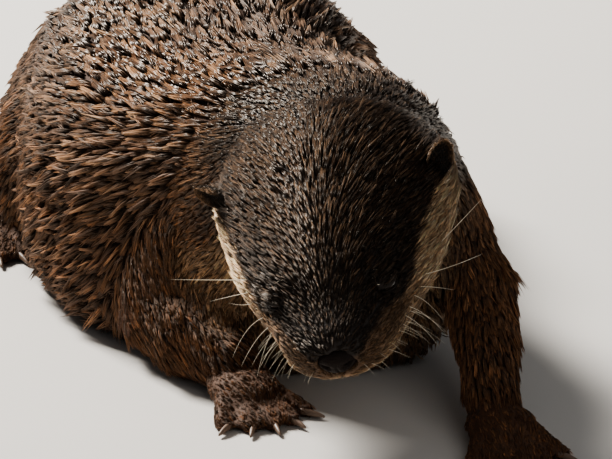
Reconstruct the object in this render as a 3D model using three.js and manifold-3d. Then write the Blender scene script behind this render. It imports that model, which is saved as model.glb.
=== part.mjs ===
// Asian small-clawed otter, life size, crouched on its belly with the head bent down.
// Millimetres, +Z up, floor at Z = 0. The animal faces -Y and its left side is +X.
// The origin ends up at the middle of the bounding box's bottom.
import * as THREE from "three";
import { mergeVertices } from "three/addons/utils/BufferGeometryUtils.js";
import Module from "manifold-3d";

const wasm = await Module();
wasm.setup();

// ---------------------------------------------------------------- driving sizes
const GAP = 0.35; // clearance between neighbouring nodes
const FLOOR_SINK = 1; // how far each sole and the belly are pressed flat on the floor

const BODY_SIDES = 22; // sides of the head, trunk and tail
const LIMB_SIDES = 8;
const TOE_SIDES = 6;
const HEAD_RINGS = 17;
const TRUNK_RING_SPACING = 13;
const TAIL_RING_SPACING = 24;

const NOSE_TIP = new THREE.Vector3(-1, -9, 39.5);
const HEAD_YAW = 0; // degrees, towards the animal's left
const HEAD_PITCH = 29; // degrees, nose down
const HEAD_ROLL = 14.5; // degrees, the left ear raised

const EYE_RADIUS = 4.8;
const CLAW_LENGTH = 4.2;
const CLAW_RADIUS = 1.15;

const FUR_DARK = 0x3a2417;
const FUR_PALE = 0xb9a58c;
const NOSE_SKIN = 0x241a18;
const EYE_DARK = 0x0b0807;
const CLAW_HORN = 0x8a7462;

const UP = new THREE.Vector3(0, 0, 1);
const vec = (x, y, z) => new THREE.Vector3(x, y, z);
const degrees = THREE.MathUtils.degToRad;
const BOTH_SIDES = [["left", 1], ["right", -1]];

// ---------------------------------------------------------------- head frame
// Local head coordinates: back from the nose tip, towards the animal's left, and up over the skull.
const headTurn = new THREE.Quaternion()
  .setFromAxisAngle(UP, degrees(HEAD_YAW))
  .multiply(new THREE.Quaternion().setFromAxisAngle(vec(1, 0, 0), degrees(HEAD_PITCH)))
  .multiply(new THREE.Quaternion().setFromAxisAngle(vec(0, 1, 0), degrees(-HEAD_ROLL)));
const headBack = vec(0, 1, 0).applyQuaternion(headTurn);
const headLeft = vec(1, 0, 0).applyQuaternion(headTurn);
const headUp = vec(0, 0, 1).applyQuaternion(headTurn);
const onHead = (back, left, up) =>
  NOSE_TIP.clone()
    .addScaledVector(headBack, back)
    .addScaledVector(headLeft, left)
    .addScaledVector(headUp, up);

// ---------------------------------------------------------------- solids
function toSolid(geometry) {
  const bare = geometry.clone();
  bare.deleteAttribute("normal");
  bare.deleteAttribute("uv");
  const merged = mergeVertices(bare, 1e-4);
  return new wasm.Manifold(
    new wasm.Mesh({
      numProp: 3,
      vertProperties: new Float32Array(merged.attributes.position.array),
      triVerts: new Uint32Array(merged.index.array),
    }),
  );
}

function toGeometry(solid) {
  const mesh = solid.getMesh();
  const geometry = new THREE.BufferGeometry();
  geometry.setAttribute("position", new THREE.BufferAttribute(mesh.vertProperties, 3));
  geometry.setIndex(new THREE.BufferAttribute(mesh.triVerts, 1));
  return geometry;
}

const union = (solids) => solids.reduce((sum, solid) => sum.add(solid));
const cutAll = (solid, tools) => tools.reduce((left, tool) => left.subtract(tool), solid);
const largest = (solid) =>
  solid.decompose().reduce((best, piece) => (piece.volume() > best.volume() ? piece : best));
const aboveFloor = (solid) => solid.subtract(floorBlock);

// A closed skin over rings of equal length, with a flat cap at each end.
function loft(rings) {
  const count = rings[0].length;
  const positions = rings.flat().flatMap((p) => [p.x, p.y, p.z]);
  const faces = [];
  for (let r = 0; r + 1 < rings.length; r++) {
    for (let i = 0; i < count; i++) {
      const a = r * count + i;
      const b = r * count + ((i + 1) % count);
      faces.push(a, b, b + count, a, b + count, a + count);
    }
  }
  for (const [ring, flip] of [[0, true], [rings.length - 1, false]]) {
    const centre = rings[ring].reduce((sum, p) => sum.add(p), vec(0, 0, 0)).divideScalar(count);
    const hub = positions.length / 3;
    positions.push(centre.x, centre.y, centre.z);
    for (let i = 0; i < count; i++) {
      const a = ring * count + i;
      const b = ring * count + ((i + 1) % count);
      faces.push(...(flip ? [hub, b, a] : [hub, a, b]));
    }
  }
  const geometry = new THREE.BufferGeometry();
  geometry.setAttribute("position", new THREE.Float32BufferAttribute(positions, 3));
  geometry.setIndex(faces);
  const solid = toSolid(geometry);
  if (solid.volume() > 0) return solid;
  for (let i = 0; i < faces.length; i += 3) [faces[i], faces[i + 1]] = [faces[i + 1], faces[i]];
  geometry.setIndex(faces);
  return toSolid(geometry);
}

// A cross-section: half width to each side, one height above and one below, squarer as the power grows.
// The lean carries its lower half forwards.
function section(centre, [side, up, along], size, grow = 0) {
  const { wide, above, below, power, powerBelow, lean = 0 } = size;
  return Array.from({ length: BODY_SIDES }, (_, i) => {
    const turn = (2 * Math.PI * i) / BODY_SIDES;
    const c = Math.cos(turn);
    const s = Math.sin(turn);
    const exponent = 2 / (s >= 0 ? power : powerBelow);
    const across = (wide + grow) * Math.sign(c) * Math.abs(c) ** exponent;
    const height = Math.sign(s) * Math.abs(s) ** exponent;
    return centre
      .clone()
      .addScaledVector(side, across)
      .addScaledVector(up, ((s >= 0 ? above : below) + grow) * height)
      .addScaledVector(along, s < 0 ? lean * height : 0);
  });
}

// Smooth value between named stations, by a Catmull-Rom curve through them.
function smoothBetween(values, t) {
  const last = values.length - 1;
  const i = Math.min(Math.floor(t), last - 1);
  const f = t - i;
  const at = (k) => values[Math.max(0, Math.min(last, k))];
  const [a, b, c, d] = [at(i - 1), at(i), at(i + 1), at(i + 2)];
  return b + 0.5 * f * (c - a + f * (2 * a - 5 * b + 4 * c - d + f * (3 * (b - c) + d - a)));
}

function ellipsoid(centre, radii, axes, around = 14, along = 10) {
  const geometry = new THREE.SphereGeometry(1, around, along);
  const basis = new THREE.Matrix4().makeBasis(
    axes[0].clone().multiplyScalar(radii[0]),
    axes[1].clone().multiplyScalar(radii[1]),
    axes[2].clone().multiplyScalar(radii[2]),
  );
  geometry.applyMatrix4(basis.setPosition(centre));
  const solid = toSolid(geometry);
  if (solid.volume() > 0) return solid;
  const index = geometry.index.array;
  for (let i = 0; i < index.length; i += 3) [index[i], index[i + 1]] = [index[i + 1], index[i]];
  return toSolid(geometry);
}

// A round limb piece from one joint to the next, with ball ends.
function limbPiece(from, to, sides, grow) {
  const axis = to.at.clone().sub(from.at);
  const length = axis.length();
  const ends = [
    { radius: from.radius + grow, level: 0, sign: -1 },
    { radius: to.radius + grow, level: length, sign: 1 },
  ];
  const profile = ends.flatMap(({ radius, level, sign }) => {
    const arc = [0, 40, 82].map((turn) => {
      const pole = degrees(turn);
      const reach = turn ? radius * Math.sin(pole) : 0;
      return new THREE.Vector2(reach, level + sign * radius * Math.cos(pole));
    });
    return sign < 0 ? arc : arc.reverse();
  });
  const geometry = new THREE.LatheGeometry(profile, sides);
  geometry.applyQuaternion(new THREE.Quaternion().setFromUnitVectors(vec(0, 1, 0), axis.normalize()));
  geometry.translate(from.at.x, from.at.y, from.at.z);
  return toSolid(geometry);
}

// A limb is the union of the pieces between its joints.
const limb = (joints, sides = LIMB_SIDES, grow = 0) =>
  union(joints.slice(1).map((joint, i) => limbPiece(joints[i], joint, sides, grow)));

const floorBlock = toSolid(new THREE.BoxGeometry(2000, 2000, 100).translate(0, 0, -50));

// ---------------------------------------------------------------- trunk and tail
// Stations from inside the back of the head to the tip of the tail, each centred on the spine's line.
// The turn is the ring's heading in degrees: 0 looks straight back, more swings to the animal's right.
const SPINE = [
  { x: 0, y: 62, z: 66, turn: 0, wide: 33, above: 34, below: 26 },
  { x: -1, y: 70, z: 61, turn: 0, wide: 42.5, above: 47, below: 38, lean: 4 },
  { x: -3, y: 83, z: 55, turn: 3, wide: 50, above: 54, below: 48, lean: 10, powerBelow: 2.4 },
  { x: -6, y: 98, z: 52, turn: 8, wide: 55, above: 56.5, below: 52.5, lean: 18, powerBelow: 2.8 },
  { x: -17, y: 117, z: 47, turn: 15, wide: 59, above: 60, below: 48, lean: 14, powerBelow: 3.3 },
  { x: -34, y: 142, z: 43, turn: 21, wide: 66, above: 56, below: 44, lean: 12, powerBelow: 5 },
  { x: -47, y: 172, z: 42, turn: 20, wide: 69, above: 60, below: 43, lean: 9, powerBelow: 5.4 },
  { x: -50, y: 206, z: 43, turn: 11, wide: 68, above: 64, below: 44, powerBelow: 4.4 },
  { x: -51, y: 240, z: 44, turn: 1, wide: 62, above: 62, below: 45, powerBelow: 3.2 },
  { x: -48, y: 272, z: 41, turn: -6, wide: 55, above: 52, below: 42, powerBelow: 3 },
  { x: -42, y: 300, z: 33, turn: -12, wide: 42, above: 38, below: 33.5, powerBelow: 2.6 },
  { x: -36, y: 323, z: 25, turn: -13, wide: 28, above: 23, below: 25.5 },
  { x: -29, y: 350, z: 18, turn: -11, wide: 20, above: 17, below: 19 },
  { x: -22, y: 394, z: 14.5, turn: -6, wide: 15.5, above: 13, below: 15.5 },
  { x: -22, y: 442, z: 12, turn: 3, wide: 12.5, above: 10.5, below: 13 },
  { x: -29, y: 490, z: 9.5, turn: 12, wide: 10, above: 8, below: 10.5 },
  { x: -43, y: 536, z: 7, turn: 20, wide: 7, above: 5.5, below: 8 },
  { x: -53, y: 560, z: 4.5, turn: 23, wide: 3, above: 2.5, below: 5 },
];
const SPINE_END = SPINE.length - 1;
const TAIL_STATION = 11;
const NODES_ON_SPINE = {
  neck: [0, 3],
  chest: [3, 5.6],
  loin: [5.6, 8],
  rump: [8, TAIL_STATION],
  tail_base: [TAIL_STATION, 13],
  tail_middle: [13, 15],
  tail_tip: [15, SPINE_END],
};
const ROUND = { power: 2.1, powerBelow: 2.1, lean: 0 };
const alongStations = (stations, keys, t) =>
  Object.fromEntries(keys.map((key) => [key, smoothBetween(stations.map((s) => s[key] ?? ROUND[key]), t)]));

function spinePoint(t) {
  const { x, y, z } = alongStations(SPINE, ["x", "y", "z"], t);
  return vec(x, y, z);
}

function spineRing(t, shift = 0, grow = 0) {
  const { turn, ...size } = alongStations(
    SPINE,
    ["turn", "wide", "above", "below", "power", "powerBelow", "lean"],
    t,
  );
  const along = vec(0, 1, 0).applyAxisAngle(UP, degrees(turn));
  const side = along.clone().cross(UP);
  return section(spinePoint(t).addScaledVector(along, shift), [side, UP, along], size, grow);
}

// Where the rings of one node sit along the spine.
function ringPlaces([from, to]) {
  const spacing = from >= TAIL_STATION ? TAIL_RING_SPACING : TRUNK_RING_SPACING;
  const steps = Math.round(spinePoint(from).distanceTo(spinePoint(to)) / spacing);
  return Array.from({ length: steps + 1 }, (_, i) => from + ((to - from) * i) / steps);
}

// One node of the body, its cut ends set back by half a gap.
function spineLength(span) {
  const places = ringPlaces(span);
  return loft(
    places.map((t, i) => {
      const atFront = i === 0 && t > 0;
      const atBack = i === places.length - 1 && t < SPINE_END;
      return spineRing(t, (atFront - atBack) * (GAP / 2));
    }),
  );
}

// Neck, chest, loin and rump in one piece and a little larger, to trim the legs by.
function bodyAllowance() {
  const spans = Object.values(NODES_ON_SPINE).filter(([from]) => from < TAIL_STATION);
  const places = [...new Set(spans.flatMap(ringPlaces))];
  return loft(places.map((t) => spineRing(t, 0, GAP)));
}

// ---------------------------------------------------------------- head
const SKULL = [
  { back: 0.4, wide: 6.5, above: 4, below: 5.5 },
  { back: 2.5, wide: 10.5, above: 7.5, below: 8.5 },
  { back: 8, wide: 15.5, above: 11, below: 12.5 },
  { back: 15, wide: 20.5, above: 13, below: 16 },
  { back: 24, wide: 25, above: 16.5, below: 19 },
  { back: 33, wide: 30, above: 20.5, below: 21.5 },
  { back: 45, wide: 35, above: 25, below: 24.5 },
  { back: 58, wide: 39, above: 28, below: 27 },
  { back: 71, wide: 41.5, above: 30, below: 29 },
  { back: 85, wide: 41, above: 30, below: 28 },
  { back: 96, wide: 35, above: 26, below: 23 },
  { back: 103, wide: 22, above: 17, below: 15 },
];
// Rounded swellings and hollows of the face, on both sides: place, reach and height.
const FACE_FORMS = [
  { back: 10, left: 13.5, up: -5.5, reach: 7.5, rise: 2.2 }, // whisker pad
  { back: 29, left: 15.5, up: 16, reach: 8, rise: 2 }, // brow
  { back: 26, left: 20.5, up: 8.5, reach: 7, rise: -2.2 }, // eye hollow
  { back: 44, left: 35, up: 0, reach: 15, rise: 1.5 }, // cheekbone
  { back: 16, left: 0, up: 13, reach: 8, rise: -1 }, // bridge of the nose
  { back: 66, left: 38, up: 12, reach: 10, rise: 1.5 }, // root of the ear
  { back: 24, left: 14, up: -17, reach: 9, rise: 1.2 }, // jaw muscle
];
const MOUTH = { corner: 28, front: -8.6, back: -12.5 };
const EYE_AT = { back: 26, left: 17.8, up: 8.6 };
const EAR_ROOT = { back: 68.5, left: 38.5, up: 13.5 };
// The way each ear stands out and the way it opens, as back, left and up. The right one is laid lower.
const EARS = {
  left: { length: [0.45, 0.45, 0.77], opening: [-0.85, 0.25, -0.1] },
  right: { length: [0.25, -0.8, 0.5], opening: [-0.85, -0.2, -0.2] },
};

function skullRing(t, grow) {
  const size = alongStations(SKULL, ["back", "wide", "above", "below", "power", "powerBelow"], t);
  const flat = section(vec(size.back, 0, 0), [vec(0, 1, 0), UP, vec(1, 0, 0)], size, grow);
  return flat.map((p) => {
    const out = vec(0, p.y, p.z).normalize();
    let rise = 0;
    for (const form of FACE_FORMS) {
      for (const side of form.left ? [1, -1] : [1]) {
        const away = p.distanceTo(vec(form.back, side * form.left, form.up));
        rise += form.rise * Math.exp(-((away / form.reach) ** 2));
      }
    }
    p.addScaledVector(out, rise);
    return onHead(p.x, p.y, p.z);
  });
}

const skull = (grow = 0) =>
  loft(
    Array.from({ length: HEAD_RINGS + 1 }, (_, i) =>
      skullRing(((SKULL.length - 1) * i) / HEAD_RINGS, grow),
    ),
  );

// A block in head coordinates, whose side outline is a list of [back, up] corners.
function headBlock(outline, halfWidth) {
  const shape = new THREE.Shape(outline.map(([back, up]) => new THREE.Vector2(back, up)));
  const geometry = new THREE.ExtrudeGeometry(shape, { depth: 2 * halfWidth, bevelEnabled: false });
  geometry.translate(0, 0, -halfWidth);
  const basis = new THREE.Matrix4().makeBasis(headBack, headUp, headLeft);
  geometry.applyMatrix4(basis.setPosition(NOSE_TIP));
  return toSolid(geometry);
}

const jawOutline = (grow) => [
  [-20, -60],
  [MOUTH.corner + grow, -60],
  [MOUTH.corner + grow, MOUTH.back + grow],
  [6, MOUTH.front + grow],
  [-20, MOUTH.front + grow],
];

const HEAD_AXES = [headBack, headLeft, headUp];
const headDirection = (back, left, up) => onHead(back, left, up).sub(NOSE_TIP).normalize();

const eye = (side, grow = 0) =>
  ellipsoid(
    onHead(EYE_AT.back, side * EYE_AT.left, EYE_AT.up),
    [EYE_RADIUS + grow, EYE_RADIUS + grow, EYE_RADIUS + grow],
    HEAD_AXES,
    10,
    8,
  );

// The bare nose pad: broad above, narrower below, with a nostril cut into each side.
function nosePad(grow = 0) {
  const pad = ellipsoid(onHead(3, 0, 0.4), [4.7 + grow, 6.9 + grow, 4.7 + grow], HEAD_AXES, 12, 7);
  if (grow) return pad;
  const nostrils = BOTH_SIDES.map(([, side]) =>
    ellipsoid(onHead(-0.6, side * 4.2, 0.5), [2.4, 1.4, 1.1], HEAD_AXES, 7, 5),
  );
  return cutAll(pad, nostrils);
}

// A small rounded ear: a cup that opens forwards.
function ear(name, side, grow = 0) {
  const length = headDirection(...EARS[name].length);
  const across = length.clone().cross(headDirection(...EARS[name].opening)).normalize();
  const mouth = across.clone().cross(length).normalize();
  const root = onHead(EAR_ROOT.back, side * EAR_ROOT.left, EAR_ROOT.up);
  const middle = root.clone().addScaledVector(length, 1.5);
  const axes = [length, across, mouth];
  const shell = ellipsoid(middle, [7 + grow, 5 + grow, 4 + grow], axes, 12, 8);
  if (grow) return shell;
  const hollowAt = middle.clone().addScaledVector(mouth, 3).addScaledVector(length, 0.2);
  return shell.subtract(ellipsoid(hollowAt, [5.8, 3.9, 4.6], axes, 10, 7));
}

// ---------------------------------------------------------------- legs and feet
const joint = (x, y, z, radius) => ({ at: vec(x, y, z), radius });

const FOREPAW = { palm: [14, 12, 7.5], toes: { length: 16, radius: 3.3, fan: 52, curve: 5 } };
const HINDPAW = { palm: [26, 12, 8], toes: { length: 18, radius: 3.5, fan: 42, curve: 4 } };
const TOES = 5;
const TOE_TAPER = 0.92;

// Each leg from the body to the wrist or ankle, then the way its foot points.
const LEGS = {
  fore_left: {
    joints: [joint(28, 98, 62, 21), joint(39, 88, 48, 18), joint(47, 72, 37, 14.5),
      joint(50, 50, 24, 12.5), joint(51, 30, 13.5, 10)],
    heading: vec(0.28, -0.96, 0),
    ...FOREPAW,
  },
  fore_right: {
    joints: [joint(-34, 104, 62, 24), joint(-51, 106, 42, 22), joint(-60, 99, 20, 19.5),
      joint(-51, 80, 15, 15), joint(-38, 64, 12, 10.5)],
    heading: vec(0.42, -0.91, 0),
    ...FOREPAW,
  },
  hind_left: {
    joints: [joint(-19, 242, 46, 39), joint(-2, 205, 33, 31), joint(17, 232, 16, 14), joint(21, 250, 12, 10)],
    heading: vec(0.14, -0.99, 0),
    ...HINDPAW,
  },
  hind_right: {
    joints: [joint(-83, 242, 46, 39), joint(-98, 203, 33, 31), joint(-118, 230, 16, 14),
      joint(-123, 248, 12, 10)],
    heading: vec(-0.1, -0.99, 0),
    ...HINDPAW,
  },
};

// The foot's own directions, and the places of its toes: root, tip, heading and radius.
function footAxes(leg) {
  const ahead = leg.heading.clone().normalize();
  return { ahead, side: ahead.clone().cross(UP).normalize(), ankle: leg.joints.at(-1) };
}

function toesOf(leg) {
  const { ahead, side, ankle } = footAxes(leg);
  const [reach, half] = leg.palm;
  const { length, radius, fan, curve } = leg.toes;
  return Array.from({ length: TOES }, (_, i) => {
    const share = (2 * i) / (TOES - 1) - 1;
    const turn = degrees((fan / 2) * share);
    const heading = ahead.clone().multiplyScalar(Math.cos(turn)).addScaledVector(side, Math.sin(turn));
    const root = ankle.at
      .clone()
      .addScaledVector(ahead, 2 * reach - 8 - curve * share * share)
      .addScaledVector(side, (half - 3.5) * share)
      .setZ(radius + 2.4);
    const tip = root.clone().addScaledVector(heading, length).setZ(radius * TOE_TAPER - FLOOR_SINK);
    return { root, tip, heading, radius };
  });
}

// A tapered, drooping horn claw at a toe's tip.
function claw({ tip, heading, radius }) {
  const start = tip.clone().addScaledVector(heading, radius * TOE_TAPER + GAP).setZ(tip.z);
  const side = heading.clone().cross(UP).normalize();
  return loft(
    [0, 1].map((share) => {
      const centre = start
        .clone()
        .addScaledVector(heading, CLAW_LENGTH * share)
        .addScaledVector(UP, -0.8 * share);
      const size = CLAW_RADIUS * (1 - 0.62 * share);
      return Array.from({ length: 5 }, (_, i) => {
        const turn = (2 * Math.PI * i) / 5;
        return centre
          .clone()
          .addScaledVector(side, size * Math.cos(turn))
          .addScaledVector(UP, size * Math.sin(turn));
      });
    }),
  );
}

function foot(leg) {
  const { ahead, side, ankle } = footAxes(leg);
  const [reach, half, high] = leg.palm;
  const middle = ankle.at.clone().addScaledVector(ahead, reach - 3).setZ(high - FLOOR_SINK);
  const palm = ellipsoid(middle, [reach + 2, half, high], [ahead, side, UP], 10, 6);
  const wristEnd = { at: ankle.at, radius: ankle.radius - 1.5 };
  const wrist = limbPiece(wristEnd, { at: middle, radius: high - 1 }, LIMB_SIDES, 0);
  const toes = toesOf(leg).map(({ root, tip, radius }) =>
    limbPiece({ at: root, radius: radius + 0.5 }, { at: tip, radius: radius * TOE_TAPER }, TOE_SIDES, 0),
  );
  return union([palm, wrist, ...toes]);
}

// ---------------------------------------------------------------- assembly
const otter = new THREE.Group();
otter.name = "otter";

function addGroup(name) {
  const group = new THREE.Group();
  group.name = name;
  otter.add(group);
  return group;
}

function addNode(group, name, solid, colour, roughness = 0.7) {
  const material = new THREE.MeshStandardMaterial({ color: colour, roughness, metalness: 0 });
  const mesh = new THREE.Mesh(toGeometry(largest(solid)), material);
  mesh.name = name;
  group.add(mesh);
}

const wholeSkull = skull();
const skullGrown = skull(GAP);
const eyesGrown = BOTH_SIDES.map(([, side]) => eye(side, GAP));
const earsGrown = BOTH_SIDES.map(([name, side]) => ear(name, side, GAP));
const bodyGrown = bodyAllowance();

const face = addGroup("face");
const cranium = cutAll(wholeSkull, [headBlock(jawOutline(GAP), 80), nosePad(GAP), ...eyesGrown, ...earsGrown]);
const lowerJaw = wholeSkull.intersect(headBlock(jawOutline(0), 80)).subtract(nosePad(GAP));
addNode(face, "head", cranium, FUR_DARK);
addNode(face, "jaw", lowerJaw, FUR_PALE);
addNode(face, "nose", nosePad(), NOSE_SKIN, 0.4);
for (const [name, side] of BOTH_SIDES) {
  addNode(face, `eye_${name}`, eye(side), EYE_DARK, 0.1);
  addNode(face, `ear_${name}`, ear(name, side), FUR_DARK);
}

const body = addGroup("body");
for (const [name, span] of Object.entries(NODES_ON_SPINE)) {
  const tools = name === "neck" ? [skullGrown, ...earsGrown] : [];
  addNode(body, name, aboveFloor(cutAll(spineLength(span), tools)), FUR_DARK);
}

for (const [name, leg] of Object.entries(LEGS)) {
  const [end, side] = name.split("_");
  const group = addGroup(name);
  const upper = cutAll(limb(leg.joints), [bodyGrown, skullGrown, ...earsGrown]);
  const lower = cutAll(foot(leg), [limb(leg.joints, LIMB_SIDES, GAP), bodyGrown]);
  addNode(group, `${end}leg_${side}`, aboveFloor(upper), FUR_DARK);
  addNode(group, `${end}foot_${side}`, aboveFloor(lower), FUR_DARK);
  toesOf(leg).forEach((toe, i) => {
    addNode(group, `claw_${name}_${i + 1}`, aboveFloor(claw(toe)), CLAW_HORN, 0.4);
  });
}

otter.updateMatrixWorld(true);
const bounds = new THREE.Box3().setFromObject(otter);
const middle = bounds.getCenter(vec(0, 0, 0));
otter.position.set(-middle.x, -middle.y, -bounds.min.z);

export default otter;
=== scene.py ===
"""Asian small-clawed otter, life size: its skin, coat, whiskers, face and claws, and the studio.

Metres, +Z up. The animal faces -Y and its left side is +X. The skin is one surface fused from the
frame's flesh nodes and set inwards by the depth of the coat. The coat is thin closed tufts rooted
on that skin, lying along it, with their tips near the surface of the nodes that they replace.
"""
import math
from dataclasses import dataclass

import bmesh
import bpy
import numpy as np
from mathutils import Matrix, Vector


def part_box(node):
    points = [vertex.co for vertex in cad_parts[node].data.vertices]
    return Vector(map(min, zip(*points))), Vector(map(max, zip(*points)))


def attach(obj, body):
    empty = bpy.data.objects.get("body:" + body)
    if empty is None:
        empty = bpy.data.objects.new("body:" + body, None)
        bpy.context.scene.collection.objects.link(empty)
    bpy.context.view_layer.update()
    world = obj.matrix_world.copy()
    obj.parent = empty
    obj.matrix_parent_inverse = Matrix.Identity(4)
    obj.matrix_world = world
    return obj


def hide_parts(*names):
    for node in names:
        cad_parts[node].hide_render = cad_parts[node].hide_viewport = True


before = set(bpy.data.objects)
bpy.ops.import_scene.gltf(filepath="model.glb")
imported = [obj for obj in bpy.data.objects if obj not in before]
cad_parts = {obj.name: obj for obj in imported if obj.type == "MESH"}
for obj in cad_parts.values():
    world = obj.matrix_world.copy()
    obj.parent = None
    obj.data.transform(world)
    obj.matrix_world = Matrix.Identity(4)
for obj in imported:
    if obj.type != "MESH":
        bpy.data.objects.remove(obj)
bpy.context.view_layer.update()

bl_info = {
    "name": "Otter",
    "version": (1, 0, 0),
    "blender": (4, 5, 0),
    "location": "View3D > Sidebar > Otter",
    "description": "Builds the skin, coat, face and claws of an otter round its packed frame",
    "category": "Add Mesh",
}

MM = 0.001
SIDES = {"left": 1, "right": -1}
SEED = 7


# ---------------------------------------------------------------- places from the frame
def middle(node):
    """The middle of a node's box."""
    low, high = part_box(node)
    return (np.array(low) + np.array(high)) / 2


def unit(vectors):
    """Vectors divided by their lengths."""
    length = np.linalg.norm(vectors, axis=-1, keepdims=True)
    return vectors / np.maximum(length, 1e-12)


HEAD_PITCH = math.radians(29)  # nose down
HEAD_ROLL = math.radians(14.5)  # the left ear raised
EYE_AT = np.array([26, 17.8, 8.6])  # back, left and up from the nose tip, in millimetres
EAR_AT = np.array([68.5, 38.5, 13.5])
EAR_HALF = [7.0, 5.0, 3.8]  # half of an ear's length, width and depth
# The way each ear stands out and the way it opens, in the head's own axes.
EARS = {
    "left": ([0.45, 0.45, 0.77], [-0.85, 0.25, -0.1]),
    "right": ([0.25, -0.8, 0.5], [-0.85, -0.2, -0.2]),
}
NOSE_AT = np.array([3.0, 0, 0.4])


def head_axes():
    """The head's own back, left and up, as rows: rolled about the body's length, then pitched."""
    cp, sp = math.cos(HEAD_PITCH), math.sin(HEAD_PITCH)
    cr, sr = math.cos(HEAD_ROLL), math.sin(HEAD_ROLL)
    pitch = np.array([[1, 0, 0], [0, cp, -sp], [0, sp, cp]])
    roll = np.array([[cr, 0, -sr], [0, 1, 0], [sr, 0, cr]])
    left, back, up = (pitch @ roll).T
    return np.array([back, left, up])


HEAD_AXES = head_axes()
EYES_MIDDLE = (middle("eye_left") + middle("eye_right")) / 2
NOSE_TIP = EYES_MIDDLE - (HEAD_AXES.T @ (EYE_AT * [1, 0, 1])) * MM


def to_head(points):
    """Places in the head's back, left and up, in millimetres."""
    return (points - NOSE_TIP) @ HEAD_AXES.T / MM


def from_head(places):
    """The reverse of to_head."""
    return NOSE_TIP + np.asarray(places, float) * MM @ HEAD_AXES


def head_direction(back, left, up):
    """A unit direction given in the head's own axes."""
    return unit(np.array([back, left, up], float) @ HEAD_AXES)


@dataclass
class Region:
    """A part of the coat: the nodes that it grows on, its depth in millimetres, how far its skin is
    evened out, and how pale its palest tips are, partly the coat's own grizzle and partly painted
    glints."""

    nodes: list
    depth: float
    evened: float
    grizzle_and_glint: float


REGION = {
    "head": Region(["head"], 1.7, 0.45, 0.5),
    "jaw": Region(["jaw"], 1.2, 0.45, 0.3),
    "neck": Region(["neck"], 3.6, 1.0, 0.5),
    "chest": Region(["chest"], 4.4, 1.0, 0.95),
    "loin": Region(["loin"], 4.4, 1.0, 0.95),
    "rump": Region(["rump"], 4.2, 1.0, 0.85),
    "tail": Region(["tail_base", "tail_middle", "tail_tip"], 2.4, 0.8, 0.6),
    "foreleg": Region(["foreleg_left", "foreleg_right"], 2.4, 0.7, 0.5),
    "hindleg": Region(["hindleg_left", "hindleg_right"], 3.0, 0.8, 0.75),
    "forefoot": Region(["forefoot_left", "forefoot_right"], 0.5, 0.12, 0.0),
    "hindfoot": Region(["hindfoot_left", "hindfoot_right"], 0.5, 0.12, 0.0),
    "ear": Region([], 0.0, 1.0, 0.3),
    "ear_rim": Region([], 0.0, 1.0, 0.3),
}
REGIONS = list(REGION)
FLESH_NODES = [node for region in REGION.values() for node in region.nodes]
SPINE_NODES = ["neck", "chest", "loin", "rump", "tail_base", "tail_middle", "tail_tip"]


def of_regions(shares, key):
    """One number of every region, weighed by how much each point belongs to each."""
    return shares @ np.array([getattr(region, key) for region in REGION.values()])


def spine_line():
    """Points down the middle of the body, from the nape to the tip of the tail, evenly spaced."""
    tail_low, tail_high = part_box("tail_tip")
    knots = [from_head([60, 0, 0])]
    knots += [middle(node) for node in SPINE_NODES]
    knots = np.array(knots + [[tail_low[0] + 8 * MM, tail_high[1], 4 * MM]])
    steps = np.concatenate([[0], np.cumsum(np.linalg.norm(np.diff(knots, axis=0), axis=1))])
    at = np.linspace(0, steps[-1], 160)
    return np.stack([np.interp(at, steps, knots[:, i]) for i in range(3)], 1)


# ---------------------------------------------------------------- meshes
def put_mesh(name, points, faces):
    """A smooth mesh object from arrays of points and of triangles or quads, linked to the scene."""
    mesh = bpy.data.meshes.new(name)
    faces = np.asarray(faces, np.int32)
    count, corners = faces.shape
    mesh.vertices.add(len(points))
    mesh.vertices.foreach_set("co", np.asarray(points, np.float32).ravel())
    mesh.loops.add(count * corners)
    mesh.loops.foreach_set("vertex_index", faces.ravel())
    mesh.polygons.add(count)
    mesh.polygons.foreach_set("loop_start", np.arange(count, dtype=np.int32) * corners)
    mesh.polygons.foreach_set("loop_total", np.full(count, corners, np.int32))
    mesh.polygons.foreach_set("use_smooth", np.ones(count, bool))
    mesh.update()
    mesh.validate()
    piece = bpy.data.objects.new(name, mesh)
    bpy.context.scene.collection.objects.link(piece)
    return piece


def set_colour(piece, name, colours):
    """A colour for each point, as linear red, green and blue."""
    layer = piece.data.attributes.new(name, "FLOAT_COLOR", "POINT")
    rgba = np.ones((len(colours), 4), np.float32)
    rgba[:, :3] = colours
    layer.data.foreach_set("color", rgba.ravel())


def set_number(piece, name, values):
    """A number for each point."""
    layer = piece.data.attributes.new(name, "FLOAT", "POINT")
    layer.data.foreach_set("value", np.asarray(values, np.float32))


def threes(items, key, kind):
    """One property of all the items of a mesh, as an array with three numbers to a row."""
    found = np.empty(len(items) * 3, kind)
    items.foreach_get(key, found)
    return found.reshape(-1, 3)


def full_turn(count):
    """Evenly spaced angles round a circle."""
    return np.linspace(0, 2 * np.pi, count, endpoint=False)


def grid_faces(rows, columns, closed=True):
    """Quads between the neighbours of a grid whose points run row by row. Closed rows meet
    themselves."""
    r = np.arange(rows - 1)
    c = np.arange(columns if closed else columns - 1)
    r, c = (a.ravel() for a in np.meshgrid(r, c, indexing="ij"))
    c1 = (c + 1) % columns
    low, high = r * columns, (r + 1) * columns
    return np.stack([low + c, low + c1, high + c1, high + c], 1)


def closed_tube(rings):
    """Points and triangles of rings (ring, side, xyz) joined by quads, with a pole at each end."""
    count, sides, _ = rings.shape
    poles = np.stack([rings[0].mean(0), rings[-1].mean(0)])
    points = np.concatenate([rings.reshape(-1, 3), poles])
    quads = grid_faces(count, sides)
    k = np.arange(sides)
    k1 = (k + 1) % sides
    first = np.stack([np.full(sides, count * sides), k1, k], 1)
    end = (count - 1) * sides
    last = np.stack([np.full(sides, count * sides + 1), end + k, end + k1], 1)
    return points, np.concatenate([quads[:, [0, 1, 2]], quads[:, [0, 2, 3]], first, last])


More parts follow.
